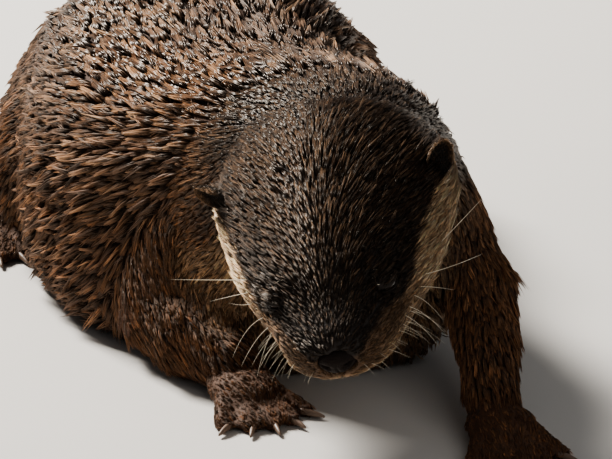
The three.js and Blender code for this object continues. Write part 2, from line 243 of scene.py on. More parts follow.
def joined(parts):
    """Several (points, triangles) as one pair."""
    starts = np.cumsum([0] + [len(points) for points, _ in parts[:-1]])
    points = np.concatenate([points for points, _ in parts])
    faces = np.concatenate([faces + start for (_, faces), start in zip(parts, starts)])
    return points, faces


def outward(points, faces):
    """The faces turned so that the closed surface has a positive volume."""
    a, b, c = (points[faces[:, i]] for i in range(3))
    return faces if np.einsum("ij,ij->i", a, np.cross(b, c)).sum() > 0 else faces[:, ::-1]


# ---------------------------------------------------------------- fields over the skin
class Skin:
    """Points, triangles and edges of the skin, with averaging of a field over its neighbours."""

    def __init__(self, points, triangles):
        self.points = points
        self.triangles = triangles
        pairs = np.concatenate([triangles[:, [0, 1]], triangles[:, [1, 2]], triangles[:, [2, 0]]])
        pairs = np.unique(np.sort(pairs, axis=1), axis=0)
        self.start = np.concatenate([pairs[:, 0], pairs[:, 1]])
        self.end = np.concatenate([pairs[:, 1], pairs[:, 0]])
        self.degree = np.maximum(np.bincount(self.start, minlength=len(points)), 1)

    def around(self, field):
        """The mean of a field over each point's neighbours."""
        field = field.reshape(len(self.points), -1)
        sums = [np.bincount(self.start, column, len(self.points)) for column in field[self.end].T]
        return np.stack(sums, 1) / self.degree[:, None]

    def soften(self, field, times, share=0.5):
        """A field moved part of the way to its neighbours' mean, several times."""
        shape = field.shape
        field = field.reshape(len(self.points), -1).astype(float)
        for _ in range(times):
            field = field + share * (self.around(field) - field)
        return field.reshape(shape)

    def relax(self, times, share):
        """Evens the surface out and back a little, so that it keeps its volume. share is for each
        point."""
        for _ in range(times):
            for amount in (0.5, -0.52):
                way = self.around(self.points) - self.points
                self.points = self.points + (amount * share)[:, None] * way

    def normals(self):
        """Area-weighted mean of the triangles' normals round each point."""
        a, b, c = (self.points[self.triangles[:, i]] for i in range(3))
        face = np.cross(b - a, c - a)
        total = np.zeros_like(self.points)
        for i in range(3):
            for axis in range(3):
                total[:, axis] += np.bincount(self.triangles[:, i], face[:, axis], len(self.points))
        return unit(total)


CHUNK = 4000  # how many points are compared at once


def nearest(points, samples):
    """For each point the index of the nearest sample, by the expansion of the squared distance."""
    samples = samples.astype(np.float32)
    half = (samples**2).sum(1) / 2
    found = [
        np.argmin(half - chunk.astype(np.float32) @ samples.T, axis=1)
        for chunk in np.array_split(points, max(1, len(points) // CHUNK))
    ]
    return np.concatenate(found)


def nearest_along(points, ways, samples, stretch):
    """Like nearest, but distances along each point's own way count for less, by the stretch."""
    centre = points.mean(0)
    points, samples = (points - centre).astype(np.float32), (samples - centre).astype(np.float32)
    half = (samples**2).sum(1) / 2
    cut = np.float32(1 - 1 / stretch**2)
    found = []
    parts = len(points) // CHUNK + 1
    for chunk, way in zip(*(np.array_split(a, parts) for a in (points, ways.astype(np.float32)))):
        along = (chunk * way).sum(1, keepdims=True) - way @ samples.T
        found.append(np.argmin(half - chunk @ samples.T - cut / 2 * along**2, axis=1))
    return np.concatenate(found)


def bump(distance, reach):
    """A smooth hill: exp of minus the squared distance over the squared reach."""
    return np.exp(-((distance / reach) ** 2))


def step(low, high, x):
    """0 below low, 1 above high, with an S curve between."""
    t = np.clip((x - low) / (high - low), 0, 1)
    return t * t * (3 - 2 * t)


# ---------------------------------------------------------------- the skin
CLOSE_GAP = 0.5 * MM  # how far each node grows, so that the clearances close
VOXEL = 2.0 * MM  # how fine the fused surface is
# How many times the fused surface is evened out, the nape softened, and the coat's depth softened.
EVENING, NAPE_SOFTENING, DEPTH_SOFTENING = 45, 70, 30
# The rest are in millimetres.
FACE_FRONT = 50  # how far back the fine part of the face reaches
SOLE_HEIGHT = 0.4  # the skin keeps this far above the ground
TAIL_THINS = 90  # the coat thins over this length before the tip of the tail
# How far back of the nose tip the softened band of the nape starts, is full, fades and ends.
NAPE = (72, 88, 112, 135)
EYE_BALL = 4.3
LID_THICKNESS = 0.5
LID_OPENING = 0.55
LID_HALF_LENGTH = 4.9
LID_FOLD_ABOVE = 3.0  # how far above the slit the fold runs
LID_PRESS = 1.7  # how far in the slit is pressed
NOSE_RING = [5.1, 7.3, 5.1]  # half sizes of the hairless place round the nose pad


def fused_flesh():
    """One closed mesh round the flesh nodes, which grow to close the gaps and are then wrapped in
    voxels."""
    whole = bmesh.new()
    for node in FLESH_NODES:
        one = bmesh.new()
        one.from_mesh(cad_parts[node].data)
        bmesh.ops.remove_doubles(one, verts=one.verts, dist=1e-6)
        one.normal_update()
        grown = bpy.data.meshes.new("grown")
        one.to_mesh(grown)
        one.free()
        points = threes(grown.vertices, "co", np.float32)
        normals = threes(grown.vertex_normals, "vector", np.float32)
        grown.vertices.foreach_set("co", (points + normals * CLOSE_GAP).ravel())
        whole.from_mesh(grown)
        bpy.data.meshes.remove(grown)
    mesh = bpy.data.meshes.new("flesh")
    whole.to_mesh(mesh)
    whole.free()
    flesh = bpy.data.objects.new("flesh", mesh)
    bpy.context.scene.collection.objects.link(flesh)
    wrap = flesh.modifiers.new("wrap", "REMESH")
    wrap.mode = "VOXEL"
    wrap.voxel_size = VOXEL
    evaluated = flesh.evaluated_get(bpy.context.evaluated_depsgraph_get())
    wrapped = bpy.data.meshes.new_from_object(evaluated)
    bpy.data.objects.remove(flesh)
    bpy.data.meshes.remove(mesh)
    return wrapped


def outer_shell(mesh):
    """Points and triangles of the largest connected part of a mesh of quads."""
    points = threes(mesh.vertices, "co", np.float32).astype(float)
    mesh.calc_loop_triangles()
    triangles = threes(mesh.loop_triangles, "vertices", np.int32)
    label = np.arange(len(points))
    while True:
        low = label[triangles].min(1)
        new = label.copy()
        for i in range(3):
            np.minimum.at(new, triangles[:, i], low)
        new = new[new]
        if (new == label).all():
            break
        label = new
    kept = label == np.bincount(label).argmax()
    number = np.cumsum(kept) - 1
    return points[kept], number[triangles[kept[triangles[:, 0]]]]


def split_finer(points, triangles, chosen):
    """The chosen triangles cut in four at their edges' middles.

    An edge is cut if either of its triangles is chosen, so a neighbour gets one, two or three new
    corners and is cut to match, and the surface stays closed.
    """
    edges = np.sort(np.stack([triangles, np.roll(triangles, -1, 1)], 2), 2)
    keys = edges[..., 0].astype(np.int64) * len(points) + edges[..., 1]
    split_keys = np.unique(keys[chosen])
    place = np.searchsorted(split_keys, keys).clip(0, len(split_keys) - 1)
    is_split = split_keys[place] == keys
    middles = (points[split_keys // len(points)] + points[split_keys % len(points)]) / 2
    new = place + len(points)
    count = is_split.sum(1)
    parts = [triangles[count == 0]]
    for turn in range(3):
        t, m, s = (np.roll(a, -turn, 1) for a in (triangles, new, is_split))
        one = (count == 1) & s[:, 0]
        a, b, c, ab = t[one, 0], t[one, 1], t[one, 2], m[one, 0]
        parts += [np.stack([a, ab, c], 1), np.stack([ab, b, c], 1)]
        two = (count == 2) & s[:, 0] & s[:, 1]
        a, b, c, ab, bc = t[two, 0], t[two, 1], t[two, 2], m[two, 0], m[two, 1]
        parts += [np.stack([a, ab, c], 1), np.stack([ab, bc, c], 1), np.stack([ab, b, bc], 1)]
    a, b, c = triangles[count == 3].T
    ab, bc, ca = new[count == 3].T
    parts += [np.stack(k, 1) for k in ((a, ab, ca), (ab, b, bc), (ca, bc, c), (ab, bc, ca))]
    return np.concatenate([points, middles]), np.concatenate(parts)


def regions_of(skin, points):
    """How much each point belongs to each region: its nearest node's, softened over the surface."""
    samples, labels = [], []
    for index, region in enumerate(REGION.values()):
        for node in region.nodes:
            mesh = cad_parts[node].data
            mesh.calc_loop_triangles()
            corners = threes(mesh.vertices, "co", np.float32)
            sides = threes(mesh.loop_triangles, "vertices", np.int32)
            found = np.concatenate([corners, corners[sides].mean(1)])
            found = np.unique(np.round(found, 5), axis=0)
            samples.append(found)
            labels.append(np.full(len(found), index))
    label = np.concatenate(labels)[nearest(points, np.concatenate(samples))]
    return skin.soften(np.eye(len(REGIONS))[label], 8)


def eye_frame(side):
    """An eye's middle, its outward axis, and the directions along and up across its slit."""
    axis = head_direction(-0.30, SIDES[side] * 0.86, 0.42)
    along = head_direction(1, SIDES[side] * 0.45, 0)
    along = unit(along - along @ axis * axis)
    up = np.cross(along, axis)
    up *= np.sign(up @ HEAD_AXES[2])
    return middle(f"eye_{side}") - 0.2 * MM * axis, axis, along, up


def lids(points, normals, bare):
    """Skin drawn over each eyeball, with a nearly closed slit that dips in the middle.

    The skin's height over the eye's middle becomes the smooth greater of itself and a dome that
    turns into a cone at its foot. The slit is pressed in past the eyeball, its rims stand up and a
    fold runs above it.
    """
    for side in SIDES:
        at, axis, along, up = eye_frame(side)
        away = (points - at) / MM
        high, x, y = away @ axis, away @ along, away @ up
        off = np.hypot(x, y)
        here = (off < 12) & (high > -9) & (normals @ axis > -0.3)
        dome_radius = EYE_BALL + LID_THICKNESS
        knee = 0.8 * dome_radius
        dome = np.sqrt(dome_radius**2 - np.minimum(off, knee) ** 2)
        dome = dome - 1.33 * np.maximum(off - knee, 0)
        short = dome - high
        lift = 0.5 * (short + np.sqrt(short**2 + 0.6**2))
        share = (x / LID_HALF_LENGTH).clip(-1, 1) ** 2
        slit = -1.6 + 1.7 * share
        from_slit = np.abs(y - slit) - LID_OPENING * np.sqrt(1 - share)
        within = (np.abs(x) < LID_HALF_LENGTH + 0.6) & here
        inside = step(0.2, -0.2, from_slit) * (np.abs(x) < LID_HALF_LENGTH)
        rims = bump(from_slit - 0.5, 0.45) * within
        fold = bump(y - slit - LID_FOLD_ABOVE + 1.2 * share, 0.5)
        fold *= step(LID_HALF_LENGTH + 2, LID_HALF_LENGTH - 1, np.abs(x))
        move = (lift + 0.25 * rims - 0.45 * fold - LID_PRESS * inside) * here
        points = points + (move * MM)[:, None] * axis
        bare[:] = np.maximum(bare, np.maximum(inside * here, step(0.8, 0.5, from_slit) * within))
    return points


def mouth_height(back):
    """How high the line of the lips runs in the head's own frame, in millimetres."""
    return -8.4 - 3.8 * step(3, 24, back) + 1.8 * step(23, 31, back)


def mouth(points, normals, bare):
    """A groove between the lips, a full upper lip over it and a cleft under the nose."""
    back, left, up = to_head(points).T
    reach = step(31, 27, back)
    from_line = up - mouth_height(back)
    groove = bump(from_line, 0.7) * reach * 1.1
    lip = bump(from_line - 2.2, 1.6) * reach * 0.5
    cleft = bump(left, 0.6) * step(-10, -8, up) * step(-2, -5, up) * step(8, 4, back) * 0.8
    pads = bump(np.hypot(back - 9, np.hypot(np.abs(left) - 11, up + 4.5)), 6) * 0.5
    move = lip + pads - groove - cleft
    bare[:] = np.maximum(bare, bump(from_line, 0.8) * reach)
    return points + (move * MM)[:, None] * normals


def ear_shell(side):
    """A rounded cup: a disc carried back as half an ellipsoid, doubled by its own wall, with a
    round rim.

    The disc's radius runs from 0 at the middle of the hollow, over the rim at 1, to 0 again behind.
    Also gives how near each point is to the rim.
    """
    long_half, wide_half, deep = EAR_HALF
    root = from_head(EAR_AT * [1, SIDES[side], 1])
    length, opening = (head_direction(*way) for way in EARS[side])
    across = unit(np.cross(length, opening))
    face = unit(np.cross(across, length))
    turn, run = np.meshgrid(full_turn(48), np.linspace(0.02, 1.98, 40))
    radius = np.where(run < 1, run, 2 - run)
    wall = 0.55 * np.clip(1 - radius, 0, 1) ** 0.35
    depth = -deep * np.sqrt(np.clip(1 - radius**2, 0, 1)) + radius * np.sin(turn) ** 2
    folded = 0.5 * np.cos(3 * turn) * bump(radius - 0.55, 0.25) * (run < 1)
    high = depth + np.where(run < 1, wall, -wall) + folded
    shape = (
        (long_half * radius * np.cos(turn) * (1 + 0.05 * np.cos(turn)) + 1.5)[..., None] * length
        + (wide_half * radius * np.sin(turn))[..., None] * across
        + high[..., None] * face
    )
    points, faces = closed_tube(root + shape * MM)
    rim = bump(run - 1, 0.16) * step(-0.3, 0.3, np.cos(turn))
    return points, outward(points, faces), np.concatenate([rim.ravel(), [0, 0]])


class Coat:
    """What the tufts need to know at each point of the finished skin."""

    skin = None  # the Skin
    normals = None
    lie = None  # the way the hair points
    regions = None  # how much each point belongs to each region
    bare = None  # 1 where no hair grows


def lie_of_coat(skin, normals, regions):
    """The way the hair points: back over the head from a middle parting, down the spine and the
    flanks, down each leg and out along the toes, then evened out over the surface."""
    spine = spine_line()
    course = unit(np.gradient(spine, axis=0))[nearest(skin.points, spine)]
    parting = np.tanh(to_head(skin.points)[:, 1] / 12)
    on_head = HEAD_AXES[0] + 0.85 * parting[:, None] * HEAD_AXES[1] - 0.10 * HEAD_AXES[2]
    level = 1 - np.abs(normals[:, 2:3])
    down = np.array([0, 0, -1.0])
    on_body = course + (0.75 * level) * down + 0.25 * normals * [1, 1, 0]
    ways = {region: on_body for region in ("neck", "chest", "loin", "rump")}
    ways["tail"] = course + 0.15 * level * down
    ways["head"] = ways["jaw"] = on_head
    for end in ("fore", "hind"):
        leg, foot = np.zeros_like(course), np.zeros_like(course)
        for side, sign in SIDES.items():
            way = unit(middle(f"{end}foot_{side}") - middle(f"{end}leg_{side}"))
            here = (skin.points[:, 0] > middle("chest")[0]) == (sign > 0)
            leg[here] = way + 0.4 * down
            foot[here] = unit(way * [1, 1, 0]) + [0, 0, -0.15]
        if end == "hind":
            leg = 0.5 * leg + course * [1, 1, 0] + 0.5 * down
            foot = -unit(course * [1, 1, 0])
        ways[f"{end}leg"] = leg
        ways[f"{end}foot"] = foot
    ways["ear"] = ways["ear_rim"] = np.tile(head_direction(0.3, 0, 0.9), (len(course), 1))
    lie = sum(regions[:, [i]] * unit(ways[region]) for i, region in enumerate(REGIONS))
    for _ in range(6):
        lie = unit(lie - (lie * normals).sum(1, keepdims=True) * normals)
        lie = skin.soften(lie, 4)
    return unit(lie - (lie * normals).sum(1, keepdims=True) * normals)


def grow_skin():
    """Fuses, evens out, sets in, sculpts and measures the skin, and fills in Coat."""
    points, triangles = outer_shell(fused_flesh())
    skin = Skin(points, triangles)
    regions = regions_of(skin, points)
    skin.relax(EVENING, of_regions(regions, "evened"))
    back = to_head(skin.points)[:, 0]
    starts, full, fades, ends = NAPE
    nape = step(starts, full, back) * step(ends, fades, back)
    skin.points = skin.soften(skin.points, NAPE_SOFTENING, 0.5 * nape[:, None])
    for pass_number in range(3):
        centres = to_head(skin.points)[skin.triangles].mean(1)
        eyes = [np.linalg.norm(centres - EYE_AT * [1, s, 1], axis=1) < 10 for s in SIDES.values()]
        lips = (centres[:, 0] < 34) & (np.abs(centres[:, 2] - mouth_height(centres[:, 0])) < 4)
        front = (centres[:, 0] < FACE_FRONT) & (centres[:, 2] > -24)
        chosen = [front, eyes[0] | eyes[1] | lips, eyes[0] | eyes[1]][pass_number]
        both, triangles = split_finer(np.hstack([skin.points, regions]), skin.triangles, chosen)
        skin, regions = Skin(both[:, :3], triangles), both[:, 3:]
        skin.relax(5, 0.6 * (to_head(skin.points)[:, 0] < FACE_FRONT + 4))
    normals = skin.normals()
    depth = of_regions(regions, "depth")
    back = to_head(skin.points)[:, 0]
    depth -= regions[:, REGIONS.index("head")] * 0.9 * step(60, 20, back)
    depth *= 1 - 0.55 * step(0.5, 0.9, -normals[:, 2])
    tail_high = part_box("tail_tip")[1][1]
    depth *= 1 - 0.6 * step(tail_high - TAIL_THINS * MM, tail_high, skin.points[:, 1])
    depth = skin.soften(depth, DEPTH_SOFTENING)
    skin.points = skin.points - (depth * MM)[:, None] * normals
    skin.relax(3, 0.5 * np.ones(len(skin.points)))
    bare = np.zeros(len(skin.points))
    normals = skin.normals()
    skin.points = mouth(skin.points, normals, bare)
    skin.points = lids(skin.points, normals, bare)
    skin.points[:, 2] = np.maximum(skin.points[:, 2], SOLE_HEIGHT * MM)
    nose = np.linalg.norm((to_head(skin.points) - NOSE_AT) / NOSE_RING, axis=1)
    bare = np.maximum(bare, step(1.05, 0.95, nose))
    ears = [ear_shell(side) for side in SIDES]
    whole = Skin(*joined([(skin.points, skin.triangles)] + [shell[:2] for shell in ears]))
    rim = np.concatenate([shell[2] for shell in ears])
    on_ears = np.zeros((len(rim), len(REGIONS)))
    on_ears[:, REGIONS.index("ear")] = 1 - rim
    on_ears[:, REGIONS.index("ear_rim")] = rim
    Coat.skin = whole
    Coat.normals = whole.normals()
    Coat.regions = np.concatenate([regions, on_ears])
    Coat.bare = np.concatenate([bare, np.zeros(len(rim))])
    Coat.lie = lie_of_coat(whole, Coat.normals, Coat.regions)


# ---------------------------------------------------------------- markings
# How high the dark cap's lower edge runs at places back from the nose tip, in millimetres.
CAP_BACK = [-2, 1.6, 5, 11, 16, 21, 26, 32, 38, 45, 58, 68, 80]
CAP_EDGE = [0.5, 2.2, 4.5, 6.5, 6.5, 4.0, 3.0, 8.0, 10.6, 11.6, 12.2, 9.5, 4.0]


def markings(points, regions, look):
    """The coat's colour at each place: a dark cap that runs on over the nape, darker still towards
    the nose tip as painted shade, golden brown on the muzzle, the sides of the neck and the lower
    flanks, and a pale cheek below a sharp border that runs from under the ear, past the eye, to the
    lips. The cheek fades out over the neck and into a buff throat."""
    back, left, up = to_head(points).T
    region = {name: regions[:, [i]] for i, name in enumerate(REGIONS)}
    crown, brown, red, pale, buff = (np.array(c) for c in look)

    def towards(colour, other, amount):
        """A colour moved towards another by an amount for each place."""
        return colour + (other - colour) * amount.reshape(len(points), -1).clip(0, 1)

    wave = 0.5 * np.sin(back * 0.9 + 2 * np.sin(up * 0.7))
    broad = 3 * np.sin(up * 0.31 + 1.3 * np.sin(back * 0.23))
    broad = broad + 2 * np.sin(left * 0.37 + back * 0.19)
    shoulder = step(20, 42, np.abs(left)) * step(60, 90, back) * step(190, 140, back)
    colour = towards(brown, red, np.maximum(step(0.108, 0.045, points[:, 2]), shoulder))
    head = (region["head"] + region["jaw"]).clip(0, 1)
    nape = step(158 + 2 * broad, 108, back) * step(56, 34, np.abs(left) + broad)
    nape = region["neck"] * nape[:, None]
    # Painted shade: the cap darkens towards the nose tip, standing for the shade on the face.
    cap = crown * (0.55 + 0.45 * step(10, 48, back))[:, None]
    colour = towards(colour, cap, head + nape + region["ear"] + region["ear_rim"])
    # Painted shade: the ears, all but the rim, are darkened to near black for the shade in their
    # hollows.
    colour = towards(colour, crown * 0.35, region["ear"])
    front = (head + region["neck"]).clip(0, 1)[:, 0]
    below = step(0.8, -0.8, up - np.interp(back, CAP_BACK, CAP_EDGE) + wave) * front
    colour = towards(colour, 0.55 * red + 0.12 * buff, below * step(32, 22, back) * 0.85)
    cheek = 0.10 + 0.90 * step(19, 31, back + 0.5 * up)
    side = 0.52 * step(3, -4, up) * step(1, 8, back)
    lip = bump(up - mouth_height(back) - 1.4, 1.7) * step(30, 25, back)
    strength = np.maximum(np.maximum(cheek, side), lip) * step(82, 64, back + broad)
    colour = towards(colour, pale, below * strength)
    throat = step(-16, -27, up + 0.5 * broad) * step(14, 24, back)
    throat = throat * step(104, 72, back + broad) * front
    colour = towards(colour, buff, throat * 0.8)
    under_neck = region["neck"] * step(0.045, 0.015, points[:, 2])[:, None]
    colour = towards(colour, buff, under_neck * 0.3)
    return towards(colour, buff * 0.8, region["ear_rim"])


# ---------------------------------------------------------------- tufts
@dataclass
class Kind:
    """One coat piece: the regions that it grows on, how many tufts, and their length, width and
    rise in millimetres and degrees, each a number or a function of the place. The clump is how far
    tufts lean together, the size how many of them do, the swing how much they stray and the streak
    how far a clump shares its pale tips, which are partly painted glints. Where keeps to one part
    of the regions."""

    regions: list
    count: int
    length: object
    width: object
    rise: object
    clump: float = 0.0
    size: int = 10
    swing: float = 0.16
    where: object = None
    streak: float = 0.35


def scatter(weights, count, draw):
    """Places spread over the skin in proportion to a weight for each point: the triangle and the
    share of each of its corners. The draws are evenly spaced along the summed weights, so they
    don't bunch."""
    skin = Coat.skin
    a, b, c = (skin.points[skin.triangles[:, i]] for i in range(3))
    area = np.linalg.norm(np.cross(b - a, c - a), axis=1)
    total = np.cumsum(area * weights[skin.triangles].mean(1))
    at = (np.arange(count) + draw.random(count)) / count * total[-1]
    triangle = np.searchsorted(total, at).clip(0, len(total) - 1)
    u, v = draw.random((2, count))
    over = u + v > 1
    u[over], v[over] = 1 - u[over], 1 - v[over]
    return skin.triangles[triangle], np.stack([1 - u - v, u, v], 1)


def gather(field, corners, shares):
    """A field of the skin at scattered places."""
    return np.einsum("ij,ij...->i...", shares, field[corners])


def chart(points, names):
    """Where a root lies on the unwrapped skin, from 0 to 1: along the head or body and round it."""
    if set(names) & {"head", "jaw", "ear"}:
        back, left, up = to_head(points).T
        along, round_it = back, np.arctan2(left, up)
    else:
        spine = spine_line()
        index = nearest(points, spine)
        away = points - spine[index]
        course = unit(np.gradient(spine, axis=0))[index]
        across = unit(np.cross(course, [0, 0, 1.0]))
        along = index + (away * course).sum(1) / np.linalg.norm(spine[1] - spine[0])
        round_it = np.arctan2((away * across).sum(1), away[:, 2])
    both = np.stack([along, round_it], 1)
    low, high = both.min(0), both.max(0)
    return 0.01 + 0.98 * (both - low) / np.maximum(high - low, 1e-9)


PATCH = 0.0015  # half of a tuft's patch on the map
CLUMP_STRETCH = 2.8  # how much longer a clump's patch of roots is than it is wide
RING_AT = 0.4  # how far along it a tuft is widest
# How far along a tuft each of its five points is, and its six faces.
TUFT_RUN = np.array([0.0, RING_AT, RING_AT, RING_AT, 1.0])
TUFT_FACES = np.array([[0, 2, 1], [0, 3, 2], [0, 1, 3], [4, 1, 2], [4, 2, 3], [4, 3, 1]])
# How much the logarithms of length, width and tint vary, and the warmth.
LENGTH_SPREAD, WIDTH_SPREAD, TINT_SPREAD, WARM_SPREAD = 0.22, 0.25, 0.2, 0.08
# A tuft's brightness at its root, kept dark as painted shade between the hairs, what its tip adds,
# partly a painted highlight, and what the palest tips add to that, partly painted glints.
ROOT_SHADE, TIP_SHADE, FROST_AND_GLINT_SHADE = 0.09, 0.72, 3.4


def sized(value, points):
    """A size that is either one number or a function of the place."""
    return value(points) if callable(value) else np.full(len(points), float(value))


def tufts(kind, look, draw):
    """Points, triangles, colours and map places of one coat piece. Tufts that belong to one clump
    lean towards the tip of its leader, and share its tint."""
    skin = Coat.skin
    weights = sum(Coat.regions[:, REGIONS.index(name)] for name in kind.regions)
    weights = np.where(weights > 0.5, weights, 0) * (1 - Coat.bare)
    if kind.where is not None:
        weights = weights * kind.where(skin.points)
    weights *= step(-0.97, -0.55, Coat.normals[:, 2]) * 0.9 + 0.1  # sparse on the soles and belly
    count = kind.count
    corners, shares = scatter(weights, count, draw)
    root = gather(skin.points, corners, shares)
    out = unit(gather(Coat.normals, corners, shares))
    lie = gather(Coat.lie, corners, shares)
    regions = gather(Coat.regions, corners, shares)
    side = unit(np.cross(out, lie))
    swing = draw.normal(0, kind.swing, count)[:, None]
    lie = unit(np.cos(swing) * np.cross(side, out) + np.sin(swing) * side)
    length = sized(kind.length, root) * np.exp(draw.normal(0, LENGTH_SPREAD, count)) * MM
    width = sized(kind.width, root) * np.exp(draw.normal(0, WIDTH_SPREAD, count)) * MM
    rise = np.radians(sized(kind.rise, root) * (0.5 + draw.random(count)))
    tint = draw.normal(0, TINT_SPREAD, count)
    frost_and_glint = draw.random(count)
    if kind.clump:
        centres = draw.choice(count, count // kind.size, replace=False)
        leader = centres[nearest_along(root, lie, root[centres], CLUMP_STRETCH)]
        way = root[leader] + lie[leader] * length[leader, None] - root
        way -= (way * out).sum(1, keepdims=True) * out
        way = lie * length[:, None] * (1 - kind.clump) + way * kind.clump
        length = np.clip(np.linalg.norm(way, axis=1), 0.45 * length, 1.4 * length)
        lie = unit(way)
        rise += kind.clump * (rise[leader] - rise)
        tint = 0.8 * tint + kind.clump * tint[leader]
        frost_and_glint += kind.streak * (frost_and_glint[leader] - frost_and_glint)
    points, faces = tuft_shapes(root, out, lie, length, width, rise)
    warm = draw.normal(0, WARM_SPREAD, count)[:, None] * np.array([1, 0.2, -0.6])
    base = markings(root, regions, look) * np.exp(tint)[:, None] * (1 + warm)
    # Painted shade and highlight: each tuft is darkest at its root, where shade falls between the
    # hairs, and lighter towards its tip; the palest tips are partly painted glints.
    shade = ROOT_SHADE + (TIP_SHADE + FROST_AND_GLINT_SHADE * frost_and_glint[:, None] ** 3) * TUFT_RUN**1.4
    colours = base[:, None] * shade[..., None]
    # Painted highlight: pale tips are commoner on the upper parts, where the light falls; in part
    # they are the coat's own grizzle.
    glint_above = 0.3 + 0.7 * step(0.035, 0.085, root[:, 2])  # more pale tips above than below
    grizzle_and_glint = (of_regions(regions, "grizzle_and_glint") * (glint_above * frost_and_glint**4))[:, None] * TUFT_RUN**2
    colours = (colours + grizzle_and_glint[..., None] * (np.array(look[3]) - colours)).reshape(-1, 3)
    patch = np.stack([[0, -1, 1, 0, 0], 2 * TUFT_RUN - 1], 1) * PATCH
    places = (chart(root, kind.regions)[:, None] + patch).reshape(-1, 2)
    return points, faces, colours.clip(0, 1), places


def tuft_shapes(root, out, lie, length, width, rise):
    """The points and triangles of tufts. Each starts in the skin, follows a curve that rises from
    it and bends back towards it, carries one three-cornered ring across that curve, flat side down,
    and ends in a point."""
    side = unit(np.cross(out, lie))
    ring = length * RING_AT
    lift = np.tan(rise) * (1 - 0.55 * RING_AT) * ring
    centre = root + lie * ring[:, None] + out * lift[:, None]
    half = side * (width / 2)[:, None]
    ridge = out * (width * 0.42)[:, None]
    tip = root + lie * length[:, None] + out * (0.45 * np.tan(rise) * length)[:, None]
    foot = root - out * (width * 0.5)[:, None]
    points = np.stack(
        [foot, centre - half - ridge * 0.3, centre + half - ridge * 0.3, centre + ridge, tip], 1)
    points[..., 2] = np.maximum(points[..., 2], 0.15 * MM)
    faces = TUFT_FACES + 5 * np.arange(len(root))[:, None, None]
    return points.reshape(-1, 3), faces.reshape(-1, 3)


def put_coat(name, kind, look, finish, draw):
    """One coat piece with its colours and its map."""
    points, faces, colours, places = tufts(kind, look, draw)
    piece = put_mesh(name, points, faces)
    set_colour(piece, "coat", colours)
    layer = piece.data.uv_layers.new(name="OFBake")
    layer.uv.foreach_set("vector", places[faces.ravel()].astype(np.float32).ravel())
    piece.data.materials.append(finish)
    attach(piece, "root")
    return piece


# ---------------------------------------------------------------- whiskers
def skin_at(places):
    """The points of the skin nearest to places in the head's frame, and the normals there."""
    index = nearest(from_head(places), Coat.skin.points)
    return Coat.skin.points[index], Coat.normals[index]


HAIR_SIDES = 5


def hair_tubes(roots, ways, droops, lengths, widths, rings=9):
    """Tapering hairs: each leaves its root along its way and bends by its droop with the square of
    the run."""
    run = np.linspace(0, 1, rings)[None, :, None]
    length = lengths[:, None, None]
    path = roots[:, None] + ways[:, None] * length * (run - 0.06)
    path = path + droops[:, None] * length * run**2
    along = unit(np.gradient(path, axis=1))
    side = unit(np.cross(along, [0.13, 0.21, 0.97]))
    over = np.cross(side, along)
    turn = full_turn(HAIR_SIDES)[None, None, :, None]
    radius = (widths[:, None, None] / 2 * (1 - run) ** 0.6 + 0.012 * MM)[:, :, None]
    across = np.cos(turn) * side[:, :, None] + np.sin(turn) * over[:, :, None]
    return joined([closed_tube(one) for one in path[:, :, None] + radius * across])


WHISKER_ROWS, WHISKER_COLUMNS = 3, 6
# How far the front whiskers of each side point forwards and down: back and up in the head's axes.
WHISKER_WAY = {"left": (-0.45, -0.25), "right": (-0.7, -0.5)}
# The long single hairs of the lip, cheek and brow: place, aim and bend in the head's own axes, then
# length in millimetres.
LONG_HAIRS = [
    ([46, 37, 0], [0.35, 0.80, 0.45], [0, 0, 0.03], 22),
    ([32, 32, 1], [0.02, 1, 0.08], [0.08, 0, 0.06], 22),
    ([28, 30, -1], [-0.20, 1, 0.02], [-0.1, 0, -0.05], 13),
    ([25, 28, -1], [-0.25, 0.9, -0.10], [-0.6, 0, -0.5], 10),
    ([21, 26, -2], [-0.25, 0.9, -0.15], [-0.5, 0, -0.4], 13),
    ([18, 25, -3], [-0.35, 0.8, -0.30], [-0.4, 0, -0.4], 12),
    ([35, -30, 10], [0.18, -1, 0.02], [0, 0, 0.02], 29),
    ([33, -30, 6], [0.00, -1, -0.05], [0, 0, -0.04], 15),
    ([30, -31, 2], [0.00, -1, -0.25], [0.15, 0, 0.3], 9),
    ([24, -28, 1], [0.00, -1, -0.10], [-0.6, 0, -0.5], 14),
    ([21, -26, 0], [-0.25, -0.9, -0.30], [-0.4, 0, -0.3], 14),
    ([19, -25, -1], [-0.45, -0.6, -0.50], [-0.3, 0, -0.3], 13),
    ([15, -23, 0], [-0.45, -0.8, -0.40], [-0.2, 0, -0.2], 10),
    ([27, 17, 14], [-0.15, -0.85, 0.50], [0, -0.1, -0.35], 6),
    ([22, 17, 12], [-0.10, -0.90, 0.40], [0, -0.1, -0.3], 5),
    ([28, -18, 14], [-0.15, 0.55, 0.80], [0, 0.1, -0.35], 6),
]


